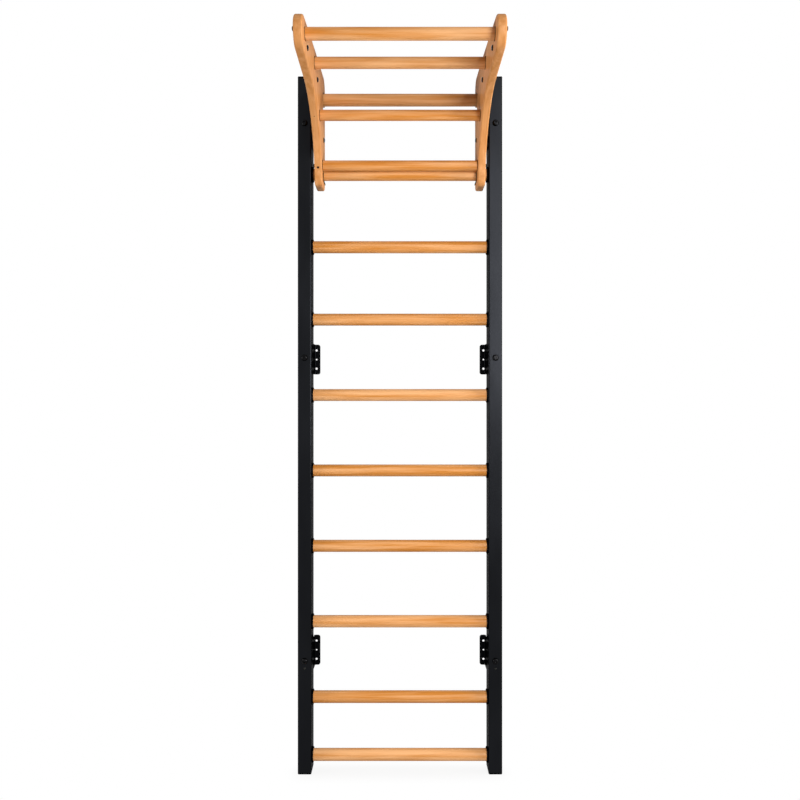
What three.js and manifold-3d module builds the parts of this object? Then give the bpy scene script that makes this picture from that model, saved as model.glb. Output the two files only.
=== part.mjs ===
// Wall bars: two steel box uprights carry wooden rungs, six bent brackets tie the uprights
// to the wall, and a wooden pull-up attachment hooks over the top rung and bears on the one
// below it.
//
// Millimetres, +Z up. The origin lies on the wall plane, at floor level, midway between the uprights.
// The wall is the plane Y = 0, and the front of the object faces -Y.

import * as THREE from 'three';
import { mergeVertices } from 'three/addons/utils/BufferGeometryUtils.js';
import Module from 'manifold-3d';

// Uprights, caps and feet
const OVERALL_WIDTH = 676;
const UPRIGHT_HEIGHT = 2307;
const UPRIGHT_WIDTH = 45;
const UPRIGHT_DEPTH = 70;
const TUBE_WALL = 2;
const TUBE_CORNER = 4;
const WALL_GAP = 45;
const CAP_THICKNESS = 5;
const FOOT_THICKNESS = 6;
const FOOT_ROUNDOVER = 2.5;
const PLUG_DEPTH = 17;

// Rungs, from the floor up, and the collars round their ends
const RUNG_DIAMETER = 40;
const LOWEST_RUNG_HEIGHT = 51;
const FOOT_BAY = 193.5;
const MAIN_BAY = 252.5;
const MAIN_BAY_COUNT = 5;
const UPPER_BAY = 242.5;
const UPPER_BAY_COUNT = 2;
const TOP_BAY = 250;
const COLLAR_DIAMETER = 51;
const COLLAR_THICKNESS = 4;
const COLLAR_CHAMFER = 1.5;

// Wall brackets and their bolts
const BRACKET_HEIGHTS = { lower: 375.5, middle: 1377.5, top: 2153 };
const BRACKET_LENGTH = 103;
const BRACKET_SHEET = 3;
const BRACKET_FLANGE = 18;
const BRACKET_CORNER = 8;
const BRACKET_TONGUE = 36;
const WALL_HOLE_INSET = 5;
const WALL_HOLE_PITCH = 31.5;
const WALL_HOLE_DIAMETER = 7.5;
const MIDDLE_HOLE_DIAMETER = 5.5;
const BOLT_DIAMETER = 12;
const BOLT_HEAD_DIAMETER = 21;
const BOLT_HEAD_HEIGHT = 6.6;
const BOLT_HEAD_CROWN = 11.5;
const BOLT_HEAD_SHOULDER = 18;
const BOLT_HEAD_SHOULDER_HEIGHT = 4.3;
const BOLT_HEAD_RIM = 1.3;
const BOLT_SOCKET_ACROSS = 8;
const BOLT_SOCKET_DEPTH = 4;
const BOLT_END = 2;
const NUT_ACROSS_CORNERS = 21;
const NUT_HEIGHT = 10;

// Pull-up attachment. Its profile is drawn from the top rung's axis:
// reach runs towards the room, rise runs up.
const PLATE_THICKNESS = 25;
const PLATE_INNER_FACE = 255.5;
const PLATE_ROUNDOVER = 5;
const LEG_BACK = -44;
const LEG_FRONT = 55;
const LEG_BOTTOM = -298;
const LEG_CORNER = 22;
const BACK_TOP = 77;
const BACK_TOP_CORNER = 40;
const TOP_CROWN = 6;
const NOSE_RADIUS = 45.5;
const NOSE_REACH = 509;
const NOSE_RISE = -25;
const ARM_UNDERSIDE_END = 330;
const LEG_FRONT_TOP = -262;
const UNDERSIDE_PULL = 140;
const LEG_PULL = new THREE.Vector2(20, 97);
const GRIP_BAR_DIAMETER = 34;
const GRIP_BARS = {
  front: new THREE.Vector2(489, -17.6),
  upper: new THREE.Vector2(265, 5.3),
  middle: new THREE.Vector2(118, -95.8),
  lower: new THREE.Vector2(32, -229.8),
};

// Seats that hold the two rungs, and the liners in them
const LINER_THICKNESS = 4;
const SEAT_DROP = 29;
const MOUTH_CLEARANCE = 1;
const LOWER_SEAT_RISE = 4.6;

// Gap left between neighbouring pieces
const GAP = 0.3;

// Facets round each kind of circle, and round a corner
const RUNG_SIDES = 20;
const BOLT_SIDES = 12;
const HOLE_SIDES = 12;
const HEX_SIDES = 6;
const ARC_STEPS = RUNG_SIDES / 2;
const CORNER_STEPS = 3;

// Points closer together than this are one point
const MERGE_DISTANCE = 1e-4;

const uprightX = (OVERALL_WIDTH - UPRIGHT_WIDTH) / 2;
const innerFaceX = OVERALL_WIDTH / 2 - UPRIGHT_WIDTH;
const rungY = -(WALL_GAP + UPRIGHT_DEPTH / 2);
const bays = [
  FOOT_BAY,
  ...Array(MAIN_BAY_COUNT).fill(MAIN_BAY),
  ...Array(UPPER_BAY_COUNT).fill(UPPER_BAY),
  TOP_BAY,
];
const rungHeights = [LOWEST_RUNG_HEIGHT];
for (const bay of bays) {
  rungHeights.unshift(rungHeights[0] + bay);
}
const topRungZ = rungHeights[0];

const SIDES = { left: -1, right: 1 };

const steel = { color: 0x26272b, roughness: 0.5, metalness: 0.4 };
const boltSteel = { color: 0x17181a, roughness: 0.35, metalness: 0.8 };
const plastic = { color: 0x131314, roughness: 0.6, metalness: 0 };
const rungWood = { color: 0xcf8b4c, roughness: 0.45, metalness: 0 };
const plateWood = { color: 0xd9a26a, roughness: 0.5, metalness: 0 };

const wasm = await Module();
wasm.setup();

// A closed geometry as a solid that can be cut and joined.
function solid(geometry) {
  const bare = geometry.index ? geometry.toNonIndexed() : geometry.clone();
  bare.deleteAttribute('normal');
  bare.deleteAttribute('uv');
  const merged = mergeVertices(bare, MERGE_DISTANCE);
  return new wasm.Manifold(new wasm.Mesh({
    numProp: 3,
    vertProperties: new Float32Array(merged.attributes.position.array),
    triVerts: new Uint32Array(merged.index.array),
  }));
}

// A solid back as a geometry with flat faces.
function geometryOf(body) {
  const mesh = body.getMesh();
  const geometry = new THREE.BufferGeometry();
  geometry.setAttribute('position', new THREE.BufferAttribute(mesh.vertProperties, 3));
  geometry.setIndex(new THREE.BufferAttribute(mesh.triVerts, 1));
  geometry.computeVertexNormals();
  return geometry;
}

function part(name, geometry, finish) {
  const mesh = new THREE.Mesh(geometry, new THREE.MeshStandardMaterial(finish));
  mesh.name = name;
  return mesh;
}

function cylinderAlongX(diameter, length, sides) {
  return new THREE.CylinderGeometry(diameter / 2, diameter / 2, length, sides).rotateZ(Math.PI / 2);
}

function cylinderAlongY(diameter, length, sides) {
  return new THREE.CylinderGeometry(diameter / 2, diameter / 2, length, sides);
}

function roundedRectangle(width, depth, corner) {
  const x = width / 2;
  const y = depth / 2;
  const shape = new THREE.Shape();
  shape.absarc(x - corner, y - corner, corner, 0, Math.PI / 2);
  shape.absarc(-x + corner, y - corner, corner, Math.PI / 2, Math.PI);
  shape.absarc(-x + corner, -y + corner, corner, Math.PI, 1.5 * Math.PI);
  shape.absarc(x - corner, -y + corner, corner, 1.5 * Math.PI, 2 * Math.PI);
  shape.closePath();
  return shape;
}

function extrude(shape, depth, steps = ARC_STEPS, bevel = 0, bevelSegments = 2) {
  return new THREE.ExtrudeGeometry(shape, {
    depth: depth - 2 * bevel,
    curveSegments: steps,
    bevelEnabled: bevel > 0,
    bevelThickness: bevel,
    bevelSize: bevel,
    bevelOffset: -bevel,
    bevelSegments,
  }).translate(0, 0, bevel);
}

// Box tube with a hole for every rung in its inner wall, which faces -X,
// and cross holes for the bracket bolts.
function uprightGeometry() {
  const bottom = FOOT_THICKNESS + GAP;
  const length = UPRIGHT_HEIGHT - CAP_THICKNESS - GAP - bottom;
  const section = roundedRectangle(UPRIGHT_WIDTH, UPRIGHT_DEPTH, TUBE_CORNER);
  const boreWidth = UPRIGHT_WIDTH - 2 * TUBE_WALL;
  const boreDepth = UPRIGHT_DEPTH - 2 * TUBE_WALL;
  const bore = roundedRectangle(boreWidth, boreDepth, TUBE_CORNER - TUBE_WALL);
  section.holes.push(new THREE.Path(bore.getPoints(CORNER_STEPS).reverse()));
  let tube = solid(extrude(section, length, CORNER_STEPS).translate(0, 0, bottom));
  const rungHole = cylinderAlongX(RUNG_DIAMETER + 2 * GAP, UPRIGHT_WIDTH, RUNG_SIDES);
  for (const height of rungHeights) {
    tube = tube.subtract(solid(rungHole.clone().translate(-UPRIGHT_WIDTH / 2, 0, height)));
  }
  const boltHole = cylinderAlongY(BOLT_DIAMETER + 2 * GAP, 2 * UPRIGHT_DEPTH, HOLE_SIDES);
  for (const height of Object.values(BRACKET_HEIGHTS)) {
    tube = tube.subtract(solid(boltHole.clone().translate(0, 0, height)));
  }
  return geometryOf(tube);
}

// End piece of an upright: a flange as wide as the tube and a plug that fits inside it.
function endPieceGeometry(thickness, roundover) {
  const section = roundedRectangle(UPRIGHT_WIDTH, UPRIGHT_DEPTH, TUBE_CORNER);
  const flange = extrude(section, thickness, CORNER_STEPS, roundover, 1);
  const margin = 2 * (TUBE_WALL + GAP);
  const plugWidth = UPRIGHT_WIDTH - margin;
  const plugSection = roundedRectangle(plugWidth, UPRIGHT_DEPTH - margin, TUBE_CORNER - TUBE_WALL);
  const plug = extrude(plugSection, thickness / 2 + PLUG_DEPTH, CORNER_STEPS);
  return geometryOf(solid(flange).add(solid(plug.translate(0, 0, thickness / 2))));
}

function rungGeometry() {
  const length = OVERALL_WIDTH - 2 * (TUBE_WALL + GAP);
  return cylinderAlongX(RUNG_DIAMETER, length, RUNG_SIDES);
}

// Ring that lies on the upright's inner face, its chamfered rim towards +X.
function collarGeometry() {
  const inner = RUNG_DIAMETER / 2 + GAP;
  const outer = COLLAR_DIAMETER / 2;
  const profile = [
    new THREE.Vector2(inner, 0),
    new THREE.Vector2(outer, 0),
    new THREE.Vector2(outer, COLLAR_THICKNESS - COLLAR_CHAMFER),
    new THREE.Vector2(outer - COLLAR_CHAMFER, COLLAR_THICKNESS),
    new THREE.Vector2(inner, COLLAR_THICKNESS),
    new THREE.Vector2(inner, 0),
  ];
  return new THREE.LatheGeometry(profile, RUNG_SIDES).rotateZ(-Math.PI / 2);
}

// Bent bracket for the right upright: a flange on the wall, a web out to the upright
// and a tongue behind it.
// X is measured from the upright's middle, Y from the wall.
function bracketGeometry() {
  const webX = -UPRIGHT_WIDTH / 2;
  const flange = new THREE.Shape();
  const half = BRACKET_LENGTH / 2;
  const edge = webX - BRACKET_FLANGE;
  flange.moveTo(webX + BRACKET_SHEET, -half);
  flange.lineTo(webX + BRACKET_SHEET, half);
  flange.absarc(edge + BRACKET_CORNER, half - BRACKET_CORNER, BRACKET_CORNER, Math.PI / 2, Math.PI);
  flange.absarc(edge + BRACKET_CORNER, -half + BRACKET_CORNER, BRACKET_CORNER, Math.PI, 1.5 * Math.PI);
  flange.closePath();
  const onWall = extrude(flange, BRACKET_SHEET, CORNER_STEPS).rotateX(Math.PI / 2);

  const webDepth = WALL_GAP - GAP;
  const web = new THREE.BoxGeometry(BRACKET_SHEET, webDepth, BRACKET_LENGTH);
  web.translate(webX + BRACKET_SHEET / 2, -webDepth / 2, 0);

  const tongue = new THREE.BoxGeometry(BRACKET_TONGUE, BRACKET_SHEET, BRACKET_LENGTH);
  tongue.translate(webX + BRACKET_TONGUE / 2, -webDepth + BRACKET_SHEET / 2, 0);

  const nutLength = NUT_HEIGHT + BRACKET_SHEET;
  const nut = cylinderAlongY(NUT_ACROSS_CORNERS, nutLength, HEX_SIDES);
  nut.translate(0, -webDepth + nutLength / 2, 0);

  let bracket = solid(onWall).add(solid(web)).add(solid(tongue)).add(solid(nut));
  const boltHole = cylinderAlongY(BOLT_DIAMETER + 2 * GAP, 4 * nutLength, HOLE_SIDES);
  bracket = bracket.subtract(solid(boltHole.translate(0, -webDepth, 0)));
  const holeX = webX - WALL_HOLE_INSET;
  const holes = [
    [-WALL_HOLE_PITCH, WALL_HOLE_DIAMETER],
    [0, MIDDLE_HOLE_DIAMETER],
    [WALL_HOLE_PITCH, WALL_HOLE_DIAMETER],
  ];
  for (const [height, diameter] of holes) {
    const hole = cylinderAlongY(diameter, 4 * BRACKET_SHEET, HOLE_SIDES).translate(holeX, 0, height);
    bracket = bracket.subtract(solid(hole));
  }
  return geometryOf(bracket);
}

// Button-head bolt along +Y. The underside of its head is at Y = 0.
function bracketBoltGeometry() {
  const length = UPRIGHT_DEPTH + GAP + BRACKET_SHEET + NUT_HEIGHT + BOLT_END;
  const shank = BOLT_DIAMETER / 2;
  const head = BOLT_HEAD_DIAMETER / 2;
  const profile = [
    new THREE.Vector2(0, -BOLT_HEAD_HEIGHT),
    new THREE.Vector2(BOLT_HEAD_CROWN / 2, -BOLT_HEAD_HEIGHT),
    new THREE.Vector2(BOLT_HEAD_SHOULDER / 2, -BOLT_HEAD_SHOULDER_HEIGHT),
    new THREE.Vector2(head, -BOLT_HEAD_RIM),
    new THREE.Vector2(head, 0),
    new THREE.Vector2(shank, 0),
    new THREE.Vector2(shank, length),
    new THREE.Vector2(0, length),
  ];
  const socketCorner = BOLT_SOCKET_ACROSS / Math.sqrt(3);
  const socket = cylinderAlongY(2 * socketCorner, 2 * BOLT_SOCKET_DEPTH, HEX_SIDES);
  const bolt = solid(new THREE.LatheGeometry(profile, BOLT_SIDES));
  return geometryOf(bolt.subtract(solid(socket.translate(0, -BOLT_HEAD_HEIGHT, 0))));
}

// Outline of a side plate: a leg down the wall side, an arm out to a round nose.
function plateOutline() {
  const shape = new THREE.Shape();
  const corner = LEG_CORNER;
  const noseBottom = NOSE_RISE - NOSE_RADIUS;
  const nose = new THREE.Vector2(NOSE_REACH, NOSE_RISE);
  const back = new THREE.Vector2(LEG_BACK + BACK_TOP_CORNER, BACK_TOP - BACK_TOP_CORNER);
  const slope = Math.atan2(BACK_TOP - NOSE_RISE - NOSE_RADIUS, NOSE_REACH - LEG_BACK);
  const topNormal = Math.PI / 2 - slope;
  const outwards = new THREE.Vector2(Math.cos(topNormal), Math.sin(topNormal));
  const topFront = nose.clone().addScaledVector(outwards, NOSE_RADIUS);
  const topBack = back.clone().addScaledVector(outwards, BACK_TOP_CORNER);
  const topMiddle = topFront.clone().lerp(topBack, 0.5);
  shape.absarc(LEG_BACK + corner, LEG_BOTTOM + corner, corner, Math.PI, 1.5 * Math.PI);
  shape.absarc(LEG_FRONT - corner, LEG_BOTTOM + corner, corner, 1.5 * Math.PI, 2 * Math.PI);
  shape.lineTo(LEG_FRONT, LEG_FRONT_TOP);
  shape.bezierCurveTo(
    LEG_FRONT + LEG_PULL.x,
    LEG_FRONT_TOP + LEG_PULL.y,
    ARM_UNDERSIDE_END - UNDERSIDE_PULL,
    noseBottom,
    ARM_UNDERSIDE_END,
    noseBottom,
  );
  shape.absarc(nose.x, nose.y, NOSE_RADIUS, -Math.PI / 2, topNormal);
  shape.quadraticCurveTo(topMiddle.x, topMiddle.y + TOP_CROWN, topBack.x, topBack.y);
  shape.absarc(back.x, back.y, BACK_TOP_CORNER, topNormal, Math.PI);
  shape.closePath();
  return shape;
}

// Upper seat: open below, with a mouth to the back under the hook,
// so that the plate drops over the rung.
function upperSeat(radius) {
  const shape = new THREE.Shape();
  const mouth = RUNG_DIAMETER / 2 + MOUTH_CLEARANCE;
  const beyondBack = 2 * LEG_BACK;
  shape.moveTo(beyondBack, -SEAT_DROP - mouth);
  shape.lineTo(radius, -SEAT_DROP - mouth);
  shape.absarc(0, 0, radius, 0, Math.PI);
  shape.lineTo(-radius, -SEAT_DROP + mouth);
  shape.lineTo(beyondBack, -SEAT_DROP + mouth);
  shape.closePath();
  return shape;
}

// Lower seat: open to the back, a little higher there, because the rung leaves it on an arc
// round the top rung.
function lowerSeat(radius) {
  const shape = new THREE.Shape();
  const beyondBack = 2 * LEG_BACK;
  shape.moveTo(beyondBack, -radius);
  shape.lineTo(0, -radius);
  shape.absarc(0, 0, radius, -Math.PI / 2, Math.PI / 2);
  shape.lineTo(beyondBack, radius + 2 * LOWER_SEAT_RISE);
  shape.closePath();
  return shape;
}

const linerInner = RUNG_DIAMETER / 2 + GAP;
const linerOuter = linerInner + LINER_THICKNESS;

function sidePlateGeometry() {
  const board = extrude(plateOutline(), PLATE_THICKNESS, ARC_STEPS, PLATE_ROUNDOVER);
  const through = 2 * PLATE_THICKNESS;
  const upper = extrude(upperSeat(linerOuter + GAP), through).translate(0, 0, -PLATE_THICKNESS / 2);
  const lower = extrude(lowerSeat(linerOuter + GAP), through);
  lower.translate(0, -TOP_BAY, -PLATE_THICKNESS / 2);
  return geometryOf(solid(board).subtract(solid(upper)).subtract(solid(lower)));
}

// Liner of the upper seat: down the hook on one side, down to the bottom of the seat on the other.
function upperLinerGeometry() {
  const hookEnd = -SEAT_DROP + RUNG_DIAMETER / 2 + MOUTH_CLEARANCE;
  const frontEnd = -SEAT_DROP - RUNG_DIAMETER / 2 - MOUTH_CLEARANCE + GAP;
  const shape = new THREE.Shape();
  shape.moveTo(linerOuter, frontEnd);
  shape.lineTo(linerOuter, 0);
  shape.absarc(0, 0, linerOuter, 0, Math.PI);
  shape.lineTo(-linerOuter, hookEnd);
  shape.lineTo(-linerInner, hookEnd);
  shape.absarc(0, 0, linerInner, Math.PI, 0, true);
  shape.lineTo(linerInner, frontEnd);
  shape.closePath();
  return extrude(shape, PLATE_THICKNESS);
}

// Liner of the lower seat: a U that lies on its side, its legs ending inside the plate's back edge.
function lowerLinerGeometry() {
  const back = LEG_BACK + PLATE_ROUNDOVER;
  const rise = LOWER_SEAT_RISE * (back / LEG_BACK);
  const quarter = Math.PI / 2;
  const shape = new THREE.Shape();
  shape.moveTo(back, -linerOuter);
  shape.lineTo(0, -linerOuter);
  shape.absarc(0, 0, linerOuter, -quarter, quarter);
  shape.lineTo(back, linerOuter + rise);
  shape.lineTo(back, linerInner + rise);
  shape.absarc(0, 0, linerInner, quarter, -quarter, true);
  shape.lineTo(back, -linerInner);
  shape.closePath();
  return extrude(shape, PLATE_THICKNESS);
}

function gripBarGeometry() {
  const length = 2 * (PLATE_INNER_FACE - GAP);
  const radius = GRIP_BAR_DIAMETER / 2;
  return new THREE.CylinderGeometry(radius, radius, length, RUNG_SIDES).rotateX(Math.PI / 2);
}

// The wall frame: uprights with their end pieces, rungs with their collars, brackets with their bolts.
function wallFrame() {
  const frame = new THREE.Group();
  const upright = uprightGeometry();
  const cap = endPieceGeometry(CAP_THICKNESS, 0).rotateX(Math.PI);
  const foot = endPieceGeometry(FOOT_THICKNESS, FOOT_ROUNDOVER);
  const rung = rungGeometry();
  const collar = collarGeometry();
  const bracket = bracketGeometry();
  const bolt = bracketBoltGeometry();

  for (const [side, sign] of Object.entries(SIDES)) {
    const post = part(`${side}_upright`, upright, steel);
    post.rotation.z = sign > 0 ? 0 : Math.PI;
    post.position.set(sign * uprightX, rungY, 0);
    const topCap = part(`${side}_top_cap`, cap, plastic);
    topCap.position.set(sign * uprightX, rungY, UPRIGHT_HEIGHT);
    const footPiece = part(`${side}_foot`, foot, plastic);
    footPiece.position.set(sign * uprightX, rungY, 0);
    frame.add(post, topCap, footPiece);

    for (const [level, height] of Object.entries(BRACKET_HEIGHTS)) {
      const wallBracket = part(`${level}_${side}_bracket`, bracket, steel);
      wallBracket.rotation.y = sign > 0 ? 0 : Math.PI;
      wallBracket.position.set(sign * uprightX, 0, height);
      const frontFace = rungY - UPRIGHT_DEPTH / 2;
      const bracketBolt = part(`${level}_${side}_bracket_bolt`, bolt, boltSteel);
      bracketBolt.position.set(sign * uprightX, frontFace - GAP, height);
      frame.add(wallBracket, bracketBolt);
    }
  }

  rungHeights.forEach((height, index) => {
    const label = `rung_${String(index + 1).padStart(2, '0')}`;
    const bar = part(label, rung, rungWood);
    bar.position.set(0, rungY, height);
    frame.add(bar);
    for (const [side, sign] of Object.entries(SIDES)) {
      const ring = part(`${label}_${side}_collar`, collar, plastic);
      ring.rotation.y = sign > 0 ? Math.PI : 0;
      ring.position.set(sign * (innerFaceX - GAP), rungY, height);
      frame.add(ring);
    }
  });
  return frame;
}

// The pull-up attachment, in a group whose X is reach, Y is rise and Z runs from right to left.
function pullUpAttachment() {
  const attachment = new THREE.Group();
  const towardsRoom = new THREE.Vector3(0, -1, 0);
  const upwards = new THREE.Vector3(0, 0, 1);
  const leftwards = new THREE.Vector3(-1, 0, 0);
  const turned = new THREE.Matrix4().makeBasis(towardsRoom, upwards, leftwards);
  attachment.quaternion.setFromRotationMatrix(turned);
  attachment.position.set(0, rungY, topRungZ);

  const plate = sidePlateGeometry();
  const upperLiner = upperLinerGeometry();
  const lowerLiner = lowerLinerGeometry();
  for (const [side, sign] of Object.entries(SIDES)) {
    const plateStart = sign < 0 ? PLATE_INNER_FACE : -PLATE_INNER_FACE - PLATE_THICKNESS;
    const board = part(`${side}_side_plate`, plate, plateWood);
    board.position.z = plateStart;
    const hookLiner = part(`${side}_upper_seat_liner`, upperLiner, plastic);
    hookLiner.position.z = plateStart;
    const restLiner = part(`${side}_lower_seat_liner`, lowerLiner, plastic);
    restLiner.position.set(0, -TOP_BAY, plateStart);
    attachment.add(board, hookLiner, restLiner);
  }

  const gripBar = gripBarGeometry();
  for (const [place, axis] of Object.entries(GRIP_BARS)) {
    const bar = part(`${place}_grip_bar`, gripBar, rungWood);
    bar.position.set(axis.x, axis.y, 0);
    attachment.add(bar);
  }
  return attachment;
}

const wallBars = new THREE.Group();
wallBars.add(wallFrame(), pullUpAttachment());

export default wallBars;
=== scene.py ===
"""Wall bars with a hook-on pull-up attachment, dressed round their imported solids.

Metres, +Z up. The wall is the plane Y = 0, and the front of the object faces -Y.
"""

import math

import bmesh
import bpy
from bpy.props import FloatProperty, FloatVectorProperty, PointerProperty
from mathutils import Matrix, Vector


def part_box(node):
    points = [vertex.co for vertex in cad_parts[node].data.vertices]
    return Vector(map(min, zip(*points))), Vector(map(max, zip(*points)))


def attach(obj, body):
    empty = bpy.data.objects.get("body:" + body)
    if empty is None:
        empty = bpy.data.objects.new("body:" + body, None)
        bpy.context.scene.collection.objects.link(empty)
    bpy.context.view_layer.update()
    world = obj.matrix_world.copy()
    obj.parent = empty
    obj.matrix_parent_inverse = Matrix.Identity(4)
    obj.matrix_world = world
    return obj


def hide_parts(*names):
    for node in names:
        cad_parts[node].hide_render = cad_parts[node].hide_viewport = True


bl_info = {
    "name": "Wall bars",
    "version": (1, 0, 0),
    "blender": (4, 5, 0),
    "location": "View3D > Sidebar > Wall bars",
    "description": "Builds wall bars with a pull-up attachment round their packed solids",
    "category": "Object",
}

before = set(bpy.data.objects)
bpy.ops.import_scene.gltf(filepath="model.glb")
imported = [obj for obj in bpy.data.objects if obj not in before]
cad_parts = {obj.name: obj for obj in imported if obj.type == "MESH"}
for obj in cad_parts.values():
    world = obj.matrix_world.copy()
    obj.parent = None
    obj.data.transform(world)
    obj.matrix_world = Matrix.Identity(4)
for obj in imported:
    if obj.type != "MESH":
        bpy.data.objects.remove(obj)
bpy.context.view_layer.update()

WALL_FRAME = "wall_frame"
ATTACHMENT = "pull_up_attachment"
SIDES = {"left": -1, "right": 1}
LEVELS = ("lower", "middle", "top")
RUNGS = [f"rung_{number:02d}" for number in range(1, 11)]
GRIP_BARS = [f"{where}_grip_bar" for where in ("front", "upper", "middle", "lower")]

QUARTER = math.pi / 2
FRONT = Vector((0, -1, 0))
UNTURNED = (0, 0, 0)
WHITE = (1, 1, 1, 1)

# Facets and shading
CORNER_STEPS = 8
ARC_STEPS = 32
CIRCLE_SIDES = 64
HEX_SIDES = 6
RIM_STEPS = 4
BEND_STEPS = 6
DOME_STEPS = 10
SMOOTH_ANGLE = math.radians(32)
FLAT_FACE_WEIGHT = 100
MERGE_DISTANCE = 1e-6
TONE_SEED = 7

# Shares of a screw's head
RIM_SHARE = 0.2
CROWN_SHARE = 0.55
SUNK_CROWN_SHARE = 0.9
DOME_SHOULDER = 0.35
SOCKET_SHARE = 0.4
SOCKET_DEPTH_SHARE = 0.55
SUNK_SOCKET_DEPTH_SHARE = 0.6
SHANK_SHARE = 0.5
LOCK_SCREW_HEIGHT_SHARE = 0.3
PIN_HEIGHT_SHARE = 0.2
PIN_SHANK_SHARE = 0.8

# Rounding of edges that hardly show, as a share of the caps' rounding or of the rings' thickness
SOFT_SHARE = 0.25

# Length of a cutter, and of what keeps a corner from it, in thicknesses of what is cut
CUTTER_REACH = 4.0
KEEPER_REACH = 6.0

# Bolts and pins of the side plates, as reach and rise from the top rung
INNER_BOLTS = ((0.446, -0.035), (0.197, -0.016), (0.001, -0.1345))
NOSE_BOLT = (0.510, -0.014)
EDGE_PIN_RISES = {"upper": -0.115, "lower": -0.2445}

# Stage
SENSOR_WIDTH = 36
FLOOR_HALF = 6


def middle(node):
    """The middle of a solid's box."""
    low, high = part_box(node)
    return (Vector(low) + Vector(high)) / 2


def extent(node):
    """The size of a solid's box along each axis."""
    low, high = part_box(node)
    return Vector(high) - Vector(low)


TOP_RUNG = middle(RUNGS[0])
SECOND_RUNG = middle(RUNGS[1])
RUNG_SIZE = extent(RUNGS[0])
BAR_SIZE = extent(GRIP_BARS[0])
COLLAR_SIZE = extent("rung_01_right_collar")
BRACKET_SIZE = extent("lower_right_bracket")
UPRIGHT_LOW, UPRIGHT_HIGH = (Vector(corner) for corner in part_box("right_upright"))
UPRIGHT_WIDTH = UPRIGHT_HIGH.x - UPRIGHT_LOW.x
UPRIGHT_DEPTH = UPRIGHT_HIGH.y - UPRIGHT_LOW.y
UPRIGHT_X = middle("right_upright").x
PLATE_LOW, PLATE_HIGH = (Vector(corner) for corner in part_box("right_side_plate"))


def setting(kind, **options):
    """A maker of settings of one kind, each with a name, a description and a default."""

    def make(name, description, default):
        return kind(name=name, description=description, default=default, **options)

    return make


length = setting(FloatProperty, precision=4, unit="LENGTH")
factor = setting(FloatProperty, min=0, max=1, subtype="FACTOR")
colour = setting(FloatVectorProperty, min=0, max=1, subtype="COLOR")
power = setting(FloatProperty, min=0, unit="POWER")
strength = setting(FloatProperty, min=0)
spread = setting(FloatProperty, unit="ROTATION")
focal_length = setting(FloatProperty, subtype="DISTANCE_CAMERA")
point = setting(FloatVectorProperty, subtype="XYZ", unit="LENGTH")


class WallFrameSettings(bpy.types.PropertyGroup):
    """Sizes and colours of the uprights, rungs and brackets."""

    tube_wall: length("Tube wall", "Wall thickness of the uprights", 0.002)
    tube_corner: length("Tube corner", "Outer corner radius of the uprights", 0.004)
    cap_round: length("Cap round", "Rounding of the top caps' rims", 0.0012)
    foot_round: length("Foot round", "Rounding of the feet's rims", 0.0035)
    clearance: length("Clearance", "Gap between neighbouring pieces", 0.0003)
    collar_round: length("Collar round", "Rounding of the collars' rims", 0.0012)
    sheet: length("Bracket sheet", "Sheet thickness of the wall brackets", 0.003)
    bend: length("Bracket bend", "Bend radius at the sheet's middle", 0.004)
    flange: length("Bracket flange", "Width of the flange on the wall", 0.018)
    flange_corner: length("Flange corner", "Corner radius of the flange", 0.008)
    tongue: length("Bracket tongue", "Width of the tongue behind the upright", 0.036)
    hole_inset: length("Hole inset", "From the web to the wall holes", 0.005)
    hole_pitch: length("Hole pitch", "From one wall hole to the next", 0.0315)
    wall_hole: length("Wall hole", "Diameter of the outer wall holes", 0.0075)
    middle_hole: length("Middle hole", "Diameter of the middle wall hole", 0.0055)
    nut_across: length("Nut across corners", "Size of the welded nuts", 0.021)
    nut_height: length("Nut height", "Height of the welded nuts", 0.010)
    bolt: length("Bracket bolt", "Shank diameter of the bracket bolts", 0.012)
    bolt_head: length("Bolt head", "Head diameter of the bracket bolts", 0.021)
    bolt_head_height: length("Bolt head height", "Head height of the bracket bolts", 0.0066)
    bolt_socket: length("Bolt socket", "Hex socket of the bracket bolts", 0.008)
    rung_screw: length("Rung screw head", "Head diameter of the rung screws", 0.0092)
    lock_screw: length("Lock screw head", "Head diameter of the lock screws", 0.0075)
    lock_screw_drop: length("Lock screw drop", "From the lower bolt to the lock screw", 0.025)
    coat: colour("Powder coat", "Black of the uprights", (0.0088, 0.0093, 0.0107))
    bracket_coat: colour("Bracket coat", "Black of the wall brackets", (0.0045, 0.0048, 0.0056))
    plastic: colour("Plastic", "Black of collars, caps, feet and liners", (0.0040, 0.0040, 0.0044))
    black_steel: colour("Black steel", "Black of the bolts", (0.008, 0.008, 0.0085))
    worn_steel: colour("Worn steel", "Dark grey of the lock screws", (0.022, 0.022, 0.020))


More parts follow.
